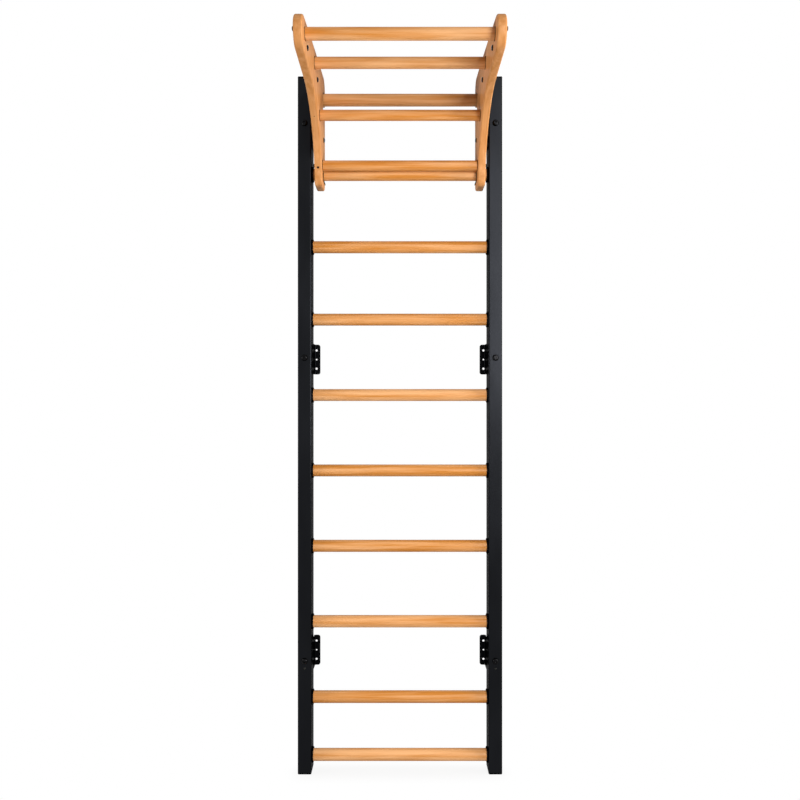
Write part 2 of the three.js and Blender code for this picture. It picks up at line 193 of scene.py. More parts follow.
class AttachmentSettings(bpy.types.PropertyGroup):
    """Sizes of the pull-up attachment."""

    plate_round: length("Plate roundover", "Roundover of the side plates", 0.005)
    leg_back: length("Leg back", "Back edge of the leg, from the top rung", -0.044)
    leg_front: length("Leg front", "Front edge of the leg, from the top rung", 0.055)
    leg_bottom: length("Leg bottom", "Lower edge of the leg, from the top rung", -0.298)
    leg_corner: length("Leg corner", "Corner radius at the leg's lower end", 0.022)
    leg_front_top: length("Leg front top", "Where the front edge starts to curve", -0.262)
    leg_pull_reach: length("Leg pull reach", "Reach of the curve's first handle", 0.020)
    leg_pull_rise: length("Leg pull rise", "Rise of the curve's first handle", 0.097)
    back_top: length("Back top", "Upper end of the back edge", 0.077)
    back_corner: length("Back corner", "Corner radius over the hook", 0.040)
    top_crown: length("Top crown", "How far the top edge bows up", 0.006)
    nose_radius: length("Nose radius", "Radius of the arm's nose", 0.0455)
    nose_reach: length("Nose reach", "Reach of the nose's middle", 0.509)
    nose_rise: length("Nose rise", "Rise of the nose's middle", -0.025)
    underside_end: length("Underside end", "Where the flat underside ends", 0.330)
    underside_pull: length("Underside pull", "Length of the curve's last handle", 0.140)
    liner: length("Liner", "Thickness of the seat liners", 0.004)
    seat_drop: length("Seat drop", "How far the rung drops into the upper seat", 0.029)
    mouth_clearance: length("Mouth clearance", "Room round the rung in the mouth", 0.001)
    seat_rise: length("Seat rise", "Slope of the lower seat's upper side", 0.0046)
    lip: length("Liner lip", "How far the lower liners stand out under the rung", 0.002)
    ring: length("Bar ring", "Diameter of the dark rings at the bars' ends", 0.0368)
    ring_thickness: length("Ring thickness", "Thickness of the dark rings", 0.0012)
    inner_bolt: length("Inner bolt head", "Head diameter on the inner faces", 0.0162)
    inner_bolt_height: length("Inner bolt height", "Head height on the inner faces", 0.004)
    nose_bolt: length("Nose bolt head", "Head diameter at the nose's outer face", 0.015)
    nose_bolt_height: length("Nose bolt height", "Head height at the nose", 0.0075)
    bar_bolt: length("Bar bolt head", "Head diameter at the other bars", 0.015)
    bar_bolt_height: length("Bar bolt height", "Head height at the other bars", 0.005)
    upper_pin: length("Upper edge pin", "Diameter of the pin higher in the front edge", 0.003)
    lower_pin: length("Lower edge pin", "Diameter of the pin lower in the front edge", 0.007)


class WoodSettings(bpy.types.PropertyGroup):
    """Colours and gloss of the lacquered wood."""

    rung_light: colour("Rung light", "Early wood of rungs and bars", (0.75, 0.392, 0.170))
    rung_dark: colour("Rung dark", "Late wood of rungs and bars", (0.53, 0.198, 0.034))
    plate_light: colour("Plate light", "Early wood of the plates", (0.71, 0.355, 0.148))
    plate_dark: colour("Plate dark", "Late wood of the plates", (0.515, 0.215, 0.064))
    rung_sheen: factor("Rung sheen", "Gloss of the turned wood", 0.25)
    plate_sheen: factor("Plate sheen", "Gloss of the plates", 0.15)
    rung_figure: factor("Rung figure", "Strength of the grain in rungs and bars", 1.0)
    plate_figure: factor("Plate figure", "Strength of the grain in the plates", 0.6)


class StageSettings(bpy.types.PropertyGroup):
    """Camera, lamps and floor."""

    camera_place: point("Camera place", "Where the camera stands", (0, -2.58, 1.2379))
    lens: focal_length("Lens", "Focal length on a 36 mm sensor", 33.59)
    key_place: point("Key place", "Tall softbox to the right of the camera", (0.98, -2.9, 2.05))
    key_width: length("Key width", "Width of the tall softbox", 0.7)
    key_height: length("Key height", "Height of the tall softbox", 1.5)
    key_power: power("Key power", "Power of the tall softbox", 30)
    low_place: point("Low place", "Small softbox near the camera's height", (1.15, -2.7, 1.45))
    low_size: length("Low size", "Edge of the small softbox", 0.6)
    low_power: power("Low power", "Power of the small softbox", 22)
    sun_place: point("Sun place", "Where the sharp light comes from", (0.95, -3.53, 2.51))
    sun_spread: spread("Sun spread", "How wide the sharp light is", math.radians(5))
    sun_strength: strength("Sun strength", "Strength of the sharp light", 0.64)
    side_place: point("Side place", "Soft light from the right", (2.9, -0.85, 1.4))
    side_size: length("Side size", "Edge of the soft light from the right", 1.2)
    side_power: power("Side power", "Power of the soft light from the right", 84)
    fill_place: point("Fill place", "Weaker light from the left", (-2.9, -0.7, 1.3))
    fill_size: length("Fill size", "Edge of the light from the left", 1.0)
    fill_power: power("Fill power", "Power of the light from the left", 52)
    target: point("Target", "What the lamps point at", (0, -0.15, 1.35))
    sky: factor("Sky", "Light from all around", 0.24)
    floor: colour("Floor", "Colour of the floor", (0.55, 0.55, 0.55))
    # The shadow settings below shape a painted shadow band on the floor, partly the floor's real
    # diffuse shadow.
    shadow_share: factor("Shadow share", "How much of the floor's shadow shows", 0.115)
    shadow_ahead: length("Shadow ahead", "How far the shadow lies before the rungs", 0.018)
    shadow_half: length("Shadow half width", "Half the width of the shadow between the feet", 0.30)
    shadow_reach: length("Shadow reach", "Where the floor's shadow has faded", 0.085)


def pick(sockets, key):
    """A socket by index, identifier or name."""
    if isinstance(key, int):
        return sockets[key]
    named = [s for s in sockets if s.identifier == key] or [s for s in sockets if s.name == key]
    return named[0]


class Socket:
    """A node's output, with operators that add Math nodes."""

    def __init__(self, nodes, socket):
        self.nodes = nodes
        self.socket = socket

    def __add__(self, other):
        return self.nodes.math("ADD", self, other)

    __radd__ = __add__

    def __sub__(self, other):
        return self.nodes.math("SUBTRACT", self, other)

    def __rsub__(self, other):
        return self.nodes.math("SUBTRACT", other, self)

    def __mul__(self, other):
        return self.nodes.math("MULTIPLY", self, other)

    __rmul__ = __mul__

    def __neg__(self):
        return self.nodes.math("MULTIPLY", self, -1)


class Nodes:
    """A node tree in the making."""

    def __init__(self, tree):
        self.tree = tree

    def add(self, kind, settings=None, inputs=None, output=0):
        """Adds a node, sets it up, fills its sockets, and returns one of its outputs."""
        node = self.tree.nodes.new(kind)
        for name, value in (settings or {}).items():
            setattr(node, name, value)
        for key, given in (inputs or {}).items():
            target = pick(node.inputs, key)
            for value in given if isinstance(given, list) else [given]:
                if isinstance(value, Socket):
                    self.tree.links.new(value.socket, target)
                else:
                    target.default_value = value
        return Socket(self, pick(node.outputs, output)) if node.outputs else None

    def math(self, operation, *values):
        return self.add("ShaderNodeMath", {"operation": operation}, dict(enumerate(values)))

    def vector(self, x, y, z):
        return self.add("ShaderNodeCombineXYZ", None, {"X": x, "Y": y, "Z": z})


class Recipe(Nodes):
    """A Geometry Nodes tree with named sizes, which sets one shape at a handful of places."""

    def __init__(self, name, labels):
        super().__init__(bpy.data.node_groups.new(name, "GeometryNodeTree"))
        interface = self.tree.interface
        kinds = {"Places": "NodeSocketGeometry", "Material": "NodeSocketMaterial"}
        kinds.update({label: "NodeSocketFloat" for label in labels})
        self.identifiers = {}
        for label, kind in kinds.items():
            socket = interface.new_socket(label, in_out="INPUT", socket_type=kind)
            self.identifiers[label] = socket.identifier
        interface.new_socket("Shapes", in_out="OUTPUT", socket_type="NodeSocketGeometry")
        self.inputs = self.tree.nodes.new("NodeGroupInput")

    def size(self, label):
        return Socket(self, pick(self.inputs.outputs, label))

    def line(self, start, end):
        return self.add("GeometryNodeCurvePrimitiveLine", None, {"Start": start, "End": end})

    def rectangle(self, width, height):
        inputs = {"Width": width, "Height": height}
        return self.add("GeometryNodeCurvePrimitiveQuadrilateral", None, inputs)

    def circle(self, radius):
        inputs = {"Resolution": CIRCLE_SIDES, "Radius": radius}
        return self.add("GeometryNodeCurvePrimitiveCircle", None, inputs)

    def filleted(self, path, radius, steps):
        inputs = {"Curve": path, "Radius": radius, "Count": steps}
        return self.add("GeometryNodeFilletCurve", {"mode": "POLY"}, inputs)

    def sweep(self, path, profile, capped=False):
        inputs = {"Curve": path, "Profile Curve": profile, "Fill Caps": capped}
        return self.add("GeometryNodeCurveToMesh", None, inputs)

    def cylinder(self, sides, radius, depth):
        inputs = {"Vertices": sides, "Radius": radius, "Depth": depth}
        return self.add("GeometryNodeMeshCylinder", None, inputs)

    def moved(self, shape, translation, turn=UNTURNED):
        inputs = {"Geometry": shape, "Translation": translation, "Rotation": turn}
        return self.add("GeometryNodeTransform", None, inputs)

    def joined(self, *shapes):
        return self.add("GeometryNodeJoinGeometry", None, {"Geometry": list(shapes)})

    def without(self, shape, *cutters):
        inputs = {"Mesh 1": shape, "Mesh 2": list(cutters)}
        settings = {"operation": "DIFFERENCE", "solver": "MANIFOLD"}
        return self.add("GeometryNodeMeshBoolean", settings, inputs)

    def close(self, shape):
        """Sets the shape at every place, with a tone of its own, and ends the tree."""
        turn = self.add(
            "GeometryNodeInputNamedAttribute", {"data_type": "FLOAT_VECTOR"}, {"Name": "turn"}
        )
        rotation = self.add("FunctionNodeEulerToRotation", None, {"Euler": turn})
        copies = self.add(
            "GeometryNodeInstanceOnPoints",
            None,
            {"Points": self.size("Places"), "Instance": shape, "Rotation": rotation},
        )
        tone = self.add(
            "FunctionNodeRandomValue", {"data_type": "FLOAT"}, {"Seed": TONE_SEED}, "Value_001"
        )
        toned = self.add(
            "GeometryNodeStoreNamedAttribute",
            {"domain": "INSTANCE", "data_type": "FLOAT"},
            {"Geometry": copies, "Name": "tone", "Value": tone},
        )
        real = self.add("GeometryNodeRealizeInstances", None, {"Geometry": toned})
        dressed = self.add(
            "GeometryNodeSetMaterial",
            None,
            {"Geometry": real, "Material": self.size("Material")},
        )
        self.add("NodeGroupOutput", None, {"Shapes": dressed})


RECIPES = {}


def recipe_of(shape, labels):
    """The Geometry Nodes tree of a shape, made on its first use."""
    if shape not in RECIPES:
        recipe = Recipe(shape.__name__.replace("_", " ").capitalize(), labels)
        recipe.close(shape(recipe))
        RECIPES[shape] = recipe
    return RECIPES[shape]


def grown(name, shape, places, material, sizes):
    """A shape at each place, as one plain mesh. A place is a point and a turn."""
    recipe = recipe_of(shape, sizes)
    seed = bpy.data.meshes.new(name)
    seed.from_pydata([spot for spot, turn in places], [], [])
    turns = seed.attributes.new("turn", "FLOAT_VECTOR", "POINT")
    for item, (spot, turn) in zip(turns.data, places):
        item.vector = tuple(turn)
    piece = linked(name, seed)
    modifier = piece.modifiers.new(name, "NODES")
    modifier.node_group = recipe.tree
    modifier[recipe.identifiers["Material"]] = material
    for label, value in sizes.items():
        modifier[recipe.identifiers[label]] = value
    baked(piece)
    return smoothed(piece)


def facing(direction):
    """The turn that points a shape's Z axis in a direction."""
    return Vector(direction).to_track_quat("Z", "Y").to_euler()


def linked(name, data):
    """A new object in the scene."""
    piece = bpy.data.objects.new(name, data)
    bpy.context.scene.collection.objects.link(piece)
    return piece


def baked(piece):
    """Turns a piece and its modifiers into one plain mesh."""
    graph = bpy.context.evaluated_depsgraph_get()
    mesh = bpy.data.meshes.new_from_object(piece.evaluated_get(graph))
    old = piece.data
    piece.modifiers.clear()
    piece.data = mesh
    bpy.data.meshes.remove(old)
    mesh.name = piece.name
    return piece


def smoothed(piece):
    """Shades the round faces smooth and keeps the flat faces flat."""
    mesh = piece.data
    mesh.polygons.foreach_set("use_smooth", [True] * len(mesh.polygons))
    mesh.set_sharp_from_angle(angle=SMOOTH_ANGLE)
    modifier = piece.modifiers.new("Flat faces", "WEIGHTED_NORMAL")
    modifier.keep_sharp = True
    modifier.weight = FLAT_FACE_WEIGHT
    return baked(piece)


def solid(name, body, material=None):
    """A piece from a closed bmesh."""
    bmesh.ops.recalc_face_normals(body, faces=body.faces)
    mesh = bpy.data.meshes.new(name)
    body.to_mesh(mesh)
    body.free()
    if material:
        mesh.materials.append(material)
    return linked(name, mesh)


def cut(piece, cutters):
    """Takes a bmesh of cutters out of a piece."""
    tool = solid("cutter", cutters)
    modifier = piece.modifiers.new("Cut", "BOOLEAN")
    modifier.object = tool
    modifier.solver = "EXACT"
    baked(piece)
    bpy.data.meshes.remove(tool.data)


def fit(piece, body, slot, *nodes):
    """Hands a finished piece to the frame, in place of its solids."""
    if nodes:
        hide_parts(*nodes)
    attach(piece, body)


def skin(body, rings):
    """Skins a stack of closed rings of points, and closes both ends."""
    rows = [[body.verts.new(spot) for spot in ring] for ring in rings]
    for low, high in zip(rows, rows[1:]):
        for index, vertex in enumerate(low):
            after = (index + 1) % len(low)
            body.faces.new((vertex, low[after], high[after], high[index]))
    body.faces.new(reversed(rows[0]))
    body.faces.new(rows[-1])


def arc(centre_x, centre_y, radius, start, end, steps=ARC_STEPS):
    """Points along an arc, ends included."""
    turns = [start + (end - start) * step / steps for step in range(steps + 1)]
    return [
        Vector((centre_x + radius * math.cos(turn), centre_y + radius * math.sin(turn)))
        for turn in turns
    ]


def curve(handles, steps=ARC_STEPS):
    """Points inside a Bezier curve, ends left out."""
    result = []
    for step in range(1, steps):
        row = handles
        while len(row) > 1:
            row = [a.lerp(b, step / steps) for a, b in zip(row, row[1:])]
        result.append(row[0])
    return result


def rounded_rectangle(width, depth, corner):
    """The outline of a rounded rectangle about the origin."""
    x = width / 2 - corner
    y = depth / 2 - corner
    middles = ((x, y), (-x, y), (-x, -y), (x, -y))
    outline = []
    for index, (corner_x, corner_y) in enumerate(middles):
        start = index * QUARTER
        outline += arc(corner_x, corner_y, corner, start, start + QUARTER, CORNER_STEPS)
    return outline


def rim(radius):
    """Inset and depth of each ring along a rounded rim, from the face to the side."""
    turns = [QUARTER * step / CORNER_STEPS for step in range(CORNER_STEPS + 1)]
    return [(radius * (1 - math.sin(turn)), radius * (1 - math.cos(turn))) for turn in turns]


def rims(low, high, low_round, high_round):
    """Inset and place of each ring of a block whose two rims are rounded over."""
    rings = [(inset, low + depth) for inset, depth in rim(low_round)]
    return rings + [(inset, high - depth) for inset, depth in reversed(rim(high_round))]


def standing(outline, centre, height):
    """An outline laid level at a height."""
    return [Vector((centre.x + p.x, centre.y + p.y, height)) for p in outline]


def sideways(outline, x, origin):
    """An outline of reach and rise, stood up at a place across the frame."""
    return [Vector((x, origin.y - p.x, origin.z + p.y)) for p in outline]


def rounded_block(body, centre, width, depth, corner, ends, rounds):
    """A standing block with rounded corners and rounded rims."""
    rings = []
    for inset, height in rims(*ends, *rounds):
        outline = rounded_rectangle(width - 2 * inset, depth - 2 * inset, corner - inset)
        rings.append(standing(outline, centre, height))
    skin(body, rings)


def cylinder_cutter(body, centre, direction, radius, depth, far_radius=None):
    """A cylinder or cone about a centre. far_radius is at the end it points to."""
    bmesh.ops.create_cone(
        body,
        cap_ends=True,
        segments=CIRCLE_SIDES,
        radius1=radius,
        radius2=radius if far_radius is None else far_radius,
        depth=depth,
        matrix=Matrix.Translation(centre) @ facing(direction).to_matrix().to_4x4(),
    )


NOISE_MEAN = 0.5


def rgba(value):
    return (*value, 1.0)


class Finish(Nodes):
    """A material in the making, with patterns on Object coordinates."""

    def __init__(self, name):
        self.material = bpy.data.materials.new(name)
        self.material.use_nodes = True
        super().__init__(self.material.node_tree)
        self.tree.nodes.clear()
        self.spot = self.add("ShaderNodeTexCoord", output="Object")

    def noise(self, scale, detail=2.0, roughness=0.5, distortion=0.0):
        """A noise from 0 to 1, with a scale for each axis."""
        scaled = self.add(
            "ShaderNodeVectorMath", {"operation": "MULTIPLY"}, {0: self.spot, 1: scale}
        )
        inputs = {
            "Vector": scaled,
            "Scale": 1.0,
            "Detail": detail,
            "Roughness": roughness,
            "Distortion": distortion,
        }
        return self.add("ShaderNodeTexNoise", None, inputs, "Fac")

    def mixed(self, share, first, second):
        """A colour between two colours."""
        inputs = {"Factor_Float": share, "A_Color": rgba(first), "B_Color": rgba(second)}
        return self.add("ShaderNodeMix", {"data_type": "RGBA"}, inputs, "Result_Color")

    def stepped(self, value, low, high):
        """A value taken smoothly from 0 at low to 1 at high."""
        inputs = {"Value": value, "From Min": low, "From Max": high}
        return self.add("ShaderNodeMapRange", {"interpolation_type": "SMOOTHSTEP"}, inputs)

    def bumped(self, height, share, depth):
        inputs = {"Height": height, "Strength": share, "Distance": depth}
        return self.add("ShaderNodeBump", None, inputs, "Normal")

    def end(self, shader):
        """Ends the tree and returns the material."""
        self.add("ShaderNodeOutputMaterial", None, {"Surface": shader})
        return self.material

    def principled(self, inputs):
        return self.end(self.add("ShaderNodeBsdfPrincipled", None, inputs))


# Black coats and plastic: pale patches per metre, their edges in the noise, and the grain
COAT_CLOUD = (9, 9, 4)
COAT_CLOUD_EDGES = (0.3, 0.8)
PALE_COAT = 1.35
CLOUD_ROUGHNESS = 0.06
GRAIN_ROUGHNESS = 0.10
GRAIN_DEPTH = 0.0004


def black_finish(name, shade, roughness, edge, grain, bump):
    """A black coat or plastic, a little uneven. edge is its brightness at a glancing angle."""
    finish = Finish(name)
    cloud = finish.noise(COAT_CLOUD, detail=3)
    fine = finish.noise((grain, grain, grain))
    pale = [PALE_COAT * channel for channel in shade]
    uneven = CLOUD_ROUGHNESS * (cloud - NOISE_MEAN)
    rough = GRAIN_ROUGHNESS * (fine - NOISE_MEAN)
    return finish.principled(
        {
            "Base Color": finish.mixed(finish.stepped(cloud, *COAT_CLOUD_EDGES), shade, pale),
            "Metallic": 1.0,
            "Specular Tint": (edge, edge, edge, 1.0),
            "Roughness": roughness + uneven + rough,
            "Normal": finish.bumped(fine, bump, GRAIN_DEPTH),
        }
    )


# Steel: worn patches and scratches per metre, the patches' edges in the noise, and the surface
STEEL_CLOUD = (160, 160, 160)
STEEL_CLOUD_EDGES = (0.45, 0.8)
STEEL_SCRATCHES = (300, 2400, 300)
PALE_STEEL = 1.8
SCRATCH_ROUGHNESS = 0.16
SCRATCH_BUMP = 0.08
SCRATCH_DEPTH = 0.0002


def metal_finish(name, shade, roughness):
    """Blackened or worn steel with fine scratches."""
    finish = Finish(name)
    cloud = finish.noise(STEEL_CLOUD, detail=3)
    scratches = finish.noise(STEEL_SCRATCHES)
    worn = [PALE_STEEL * channel for channel in shade]
    return finish.principled(
        {
            "Base Color": finish.mixed(finish.stepped(cloud, *STEEL_CLOUD_EDGES), shade, worn),
            "Metallic": 1.0,
            "Roughness": roughness + SCRATCH_ROUGHNESS * (scratches - NOISE_MEAN),
            "Normal": finish.bumped(scratches, SCRATCH_BUMP, SCRATCH_DEPTH),
        }
    )


# Wood: features per metre along and across the grain, which runs along X before it is turned
WOOD_BANDS = (2.6, 70, 70)
WOOD_FLAMES = (1.6, 22, 22)
WOOD_FIBRES = (6, 260, 260)
WOOD_PORES = (30, 800, 800)
PLATE_GRAIN = (math.radians(35), 0, QUARTER)

# How the wood's noises are shaped
BAND_ROUGHNESS = 0.55
BAND_DISTORTION = 0.1
FLAME_RINGS = 40.0
PORE_EDGES = (0.62, 0.74)

# How far each feature moves the colour from the middle between dark and light wood
MIDDLE_SHADE = 0.5
BAND_CONTRAST = 2.6
FIBRE_CONTRAST = 0.8
FLAME_CONTRAST = 0.10
PIECE_CONTRAST = 0.45
PORE_CONTRAST = 0.12

# The wood's surface under its lacquer
WOOD_ROUGHNESS = 0.31
FIBRE_ROUGHNESS = 0.16
PORE_ROUGHNESS = 0.10
PORE_BUMP = 0.6
WOOD_BUMP = 0.05
FIBRE_DEPTH = 0.0004
LACQUER_ROUGHNESS = 0.28


def wood_finish(name, light, dark, sheen, figure, grain_turn):
    """Lacquered wood: bands, flames and fibres along the grain, and dark pores."""
    finish = Finish(name)
    turned = {"Vector": finish.spot, "Rotation": grain_turn}
    finish.spot = finish.add("ShaderNodeMapping", None, turned)
    tone = finish.add("ShaderNodeAttribute", {"attribute_name": "tone"}, None, "Fac")
    bands = finish.noise(WOOD_BANDS, roughness=BAND_ROUGHNESS, distortion=BAND_DISTORTION)
    flames = finish.noise(WOOD_FLAMES, detail=1)
    fibres = finish.noise(WOOD_FIBRES)
    pores = finish.stepped(finish.noise(WOOD_PORES, detail=1), *PORE_EDGES)
    rings = finish.math("SINE", FLAME_RINGS * flames)
    streaks = fibres - NOISE_MEAN
    grain = BAND_CONTRAST * (bands - NOISE_MEAN) + FIBRE_CONTRAST * streaks + FLAME_CONTRAST * rings
    shade = MIDDLE_SHADE + figure * grain + PIECE_CONTRAST * (tone - NOISE_MEAN)
    return finish.principled(
        {
            "Base Color": finish.mixed(shade - PORE_CONTRAST * pores, dark, light),
            "Roughness": WOOD_ROUGHNESS + FIBRE_ROUGHNESS * streaks + PORE_ROUGHNESS * pores,
            "Specular IOR Level": 0.0,
            "Coat Weight": sheen,
            "Coat Roughness": LACQUER_ROUGHNESS,
            "Normal": finish.bumped(fibres - PORE_BUMP * pores, WOOD_BUMP, FIBRE_DEPTH),
        }
    )


def finish_of(name, make, *values, **options):
    """A material made on its first use."""
    return bpy.data.materials.get(name) or make(name, *values, **options)


def powder_coat(scene):
    coat = {"roughness": 0.34, "edge": 0.12, "grain": 1500, "bump": 0.06}
    return finish_of("powder_coat", black_finish, scene.wall_frame.coat, **coat)


def bracket_coat(scene):
    coat = {"roughness": 0.37, "edge": 0.12, "grain": 1500, "bump": 0.06}
    return finish_of("bracket_coat", black_finish, scene.wall_frame.bracket_coat, **coat)


def moulded_black(scene):
    plastic = {"roughness": 0.5, "edge": 0.06, "grain": 2600, "bump": 0.10}
    return finish_of("moulded_black", black_finish, scene.wall_frame.plastic, **plastic)


def blackened_steel(scene):
    shade = scene.wall_frame.black_steel
    return finish_of("blackened_steel", metal_finish, shade, roughness=0.20)


def worn_steel(scene):
    shade = scene.wall_frame.worn_steel
    return finish_of("worn_steel", metal_finish, shade, roughness=0.32)


def rung_wood(scene):
    wood = scene.wall_bars_wood
    look = (wood.rung_light, wood.rung_dark, wood.rung_sheen, wood.rung_figure)
    return finish_of("lacquered_rung", wood_finish, *look, UNTURNED)


def plate_wood(scene):
    wood = scene.wall_bars_wood
    look = (wood.plate_light, wood.plate_dark, wood.plate_sheen, wood.plate_figure)
    return finish_of("lacquered_board", wood_finish, *look, PLATE_GRAIN)


def turned_bars(recipe):
    """A round bar along X."""
    half = 0.5 * recipe.size("Length")
    path = recipe.line(recipe.vector(-half, 0, 0), recipe.vector(half, 0, 0))
    return recipe.sweep(path, recipe.circle(0.5 * recipe.size("Diameter")), True)


def rounded_rings(recipe):
    """A flat ring with rounded rims, standing on its place along Z."""
    inner = recipe.size("Inner diameter")
    outer = recipe.size("Outer diameter")
    thickness = recipe.size("Thickness")
    section = recipe.rectangle(0.5 * (outer - inner), thickness)
    profile = recipe.filleted(section, recipe.size("Round"), RIM_STEPS)
    ring = recipe.sweep(recipe.circle(0.25 * (inner + outer)), profile)
    return recipe.moved(ring, recipe.vector(0, 0, 0.5 * thickness))


def socket_heads(recipe):
    """A screw with a hex socket. Its head stands along Z, and its shank goes the other way."""
    radius = 0.5 * recipe.size("Head diameter")
    under = 0.5 * recipe.size("Under diameter")
    crown = 0.5 * recipe.size("Crown diameter")
    edge = recipe.size("Rim")
    height = recipe.size("Head height")
    shank = recipe.size("Shank length")
    axis_top = recipe.vector(-radius, -height, 0)
    crown_edge = recipe.vector(crown - radius, -height, 0)
    shoulder = recipe.vector(DOME_SHOULDER * (crown - radius), -height, 0)
    rim_edge = recipe.vector(0, -edge, 0)
    under_edge = recipe.vector(under - radius, 0, 0)
    axis_bottom = recipe.vector(-radius, 0, 0)
    dome = recipe.add(
        "GeometryNodeCurveQuadraticBezier",
        None,
        {"Resolution": DOME_STEPS, "Start": crown_edge, "Middle": shoulder, "End": rim_edge},
    )
    profile = recipe.joined(
        recipe.line(axis_top, crown_edge),
        dome,
        recipe.line(rim_edge, under_edge),
        recipe.line(under_edge, axis_bottom),
    )
    turned = recipe.sweep(recipe.circle(radius), profile)
    merged = {"Geometry": turned, "Distance": MERGE_DISTANCE}
    head = recipe.add("GeometryNodeMergeByDistance", None, merged)
    socket_radius = (1 / math.sqrt(3)) * recipe.size("Socket")
    socket = recipe.cylinder(HEX_SIDES, socket_radius, 2.0 * recipe.size("Socket depth"))
    recessed = recipe.without(head, recipe.moved(socket, recipe.vector(0, 0, height)))
    stem = recipe.cylinder(CIRCLE_SIDES, 0.5 * recipe.size("Shank diameter"), shank + 0.5 * edge)
    stem = recipe.moved(stem, recipe.vector(0, 0, 0.25 * edge - 0.5 * shank))
    return recipe.joined(recessed, stem)


def bent_brackets(recipe):
    """A bent bracket: a flange on the wall, a web, and a tongue with a welded nut."""
    sheet = recipe.size("Sheet")
    depth = recipe.size("Depth")
    height = recipe.size("Height")
    web = -0.5 * recipe.size("Upright width")
    edge = web - recipe.size("Flange")
    web_middle = web + 0.5 * sheet
    tongue_middle = 0.5 * sheet - depth
    corners = recipe.add(
        "GeometryNodeCurvePrimitiveQuadrilateral",
        {"mode": "POINTS"},
        {
            "Point 1": recipe.vector(edge, -0.5 * sheet, 0),
            "Point 2": recipe.vector(web_middle, -0.5 * sheet, 0),
            "Point 3": recipe.vector(web_middle, tongue_middle, 0),
            "Point 4": recipe.vector(web + recipe.size("Tongue"), tongue_middle, 0),
        },
    )
    opened = {"Geometry": corners, "Cyclic": False}
    open_path = recipe.add("GeometryNodeSetSplineCyclic", None, opened)
    path = recipe.filleted(open_path, recipe.size("Bend"), BEND_STEPS)
    bent = recipe.sweep(path, recipe.rectangle(sheet, height), True)

    across = (QUARTER, 0, 0)
    hole_x = web - recipe.size("Hole inset")
    pitch = recipe.size("Hole pitch")
    cutters = []
    for hole_z, label in ((-pitch, "Wall hole"), (0, "Middle hole"), (pitch, "Wall hole")):
        hole = recipe.cylinder(CIRCLE_SIDES, 0.5 * recipe.size(label), CUTTER_REACH * sheet)
        cutters.append(recipe.moved(hole, recipe.vector(hole_x, 0, hole_z), across))
    corner = recipe.size("Corner")
    for end in (-1, 1):
        corner_z = end * (0.5 * height - corner)
        block_size = recipe.vector(2.0 * corner, CUTTER_REACH * sheet, 2.0 * corner)
        block = recipe.add("GeometryNodeMeshCube", None, {"Size": block_size})
        block = recipe.moved(block, recipe.vector(edge, 0, end * 0.5 * height))
        keep = recipe.cylinder(CIRCLE_SIDES, corner, KEEPER_REACH * sheet)
        keep = recipe.moved(keep, recipe.vector(edge + corner, 0, corner_z), across)
        cutters.append(recipe.without(block, keep))
    nut_height = recipe.size("Nut height")
    bolt_radius = 0.5 * recipe.size("Bolt hole")
    bolt_hole = recipe.cylinder(CIRCLE_SIDES, bolt_radius, CUTTER_REACH * nut_height)
    bolt_hole = recipe.moved(bolt_hole, recipe.vector(0, -depth, 0), across)
    plate = recipe.without(bent, bolt_hole, *cutters)

    nut = recipe.cylinder(HEX_SIDES, 0.5 * recipe.size("Nut across"), nut_height)
    nut = recipe.moved(nut, recipe.vector(0, sheet + 0.5 * nut_height - depth, 0), across)
    return recipe.joined(plate, recipe.without(nut, bolt_hole))


def button_sizes(diameter, height, socket, shank, shank_length):
    """Sizes of a screw with a button head."""
    return {
        "Head diameter": diameter,
        "Under diameter": diameter,
        "Rim": RIM_SHARE * height,
        "Crown diameter": CROWN_SHARE * diameter,
        "Head height": height,
        "Socket": socket,
        "Socket depth": SOCKET_DEPTH_SHARE * height,
        "Shank diameter": shank,
        "Shank length": shank_length,
    }


